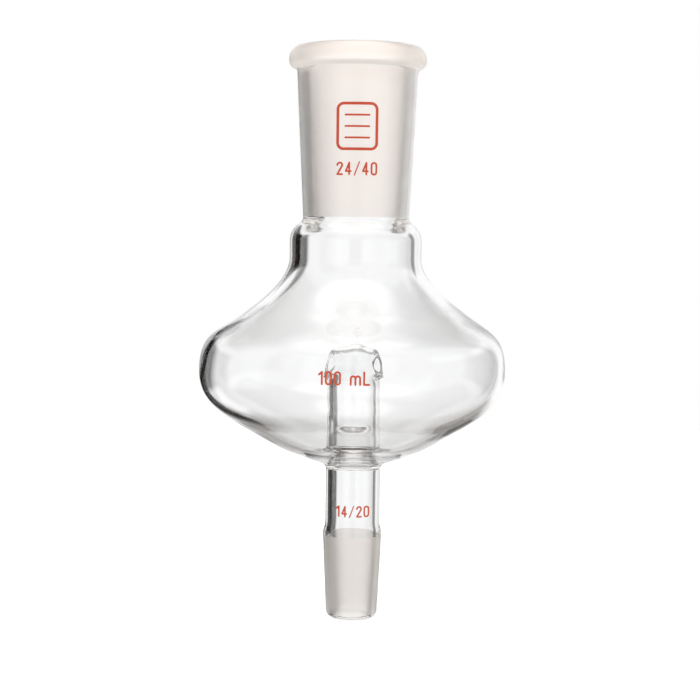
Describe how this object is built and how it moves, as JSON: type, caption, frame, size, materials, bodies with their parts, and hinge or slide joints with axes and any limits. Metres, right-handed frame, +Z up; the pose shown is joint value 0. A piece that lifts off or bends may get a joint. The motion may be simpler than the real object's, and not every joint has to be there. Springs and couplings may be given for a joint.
{
  "type": "bump trap",
  "caption": "Clear glass bump trap: a squat blown bulb between a ground socket and a ground cone, with a domed inner tube that has side ports.",
  "frame": {"origin": "centre of the lower cone's tip, on the axis", "axes": "+Z up the axis from the cone to the mouth of the socket; -Y is the front, which carries the marks; the side ports look along +X and -X"},
  "size_m": [0.0762, 0.0763, 0.142],
  "materials": {
    "clear_glass": "clear, fire-polished",
    "ground_glass": "ground matt where it seals, clear elsewhere",
    "red_enamel": "thin fired enamel"
  },
  "bodies": {
    "root": {"upper_socket": "ground_glass", "shoulder_seal": "clear_glass", "bulb": "clear_glass", "ring_seal": "clear_glass", "vapour_tube": "clear_glass", "stem_tube": "clear_glass", "lower_cone": "ground_glass", "marking_panel": "red_enamel", "socket_size_mark": "red_enamel", "capacity_mark": "red_enamel", "cone_size_mark": "red_enamel"}
  },
  "joints": []
}
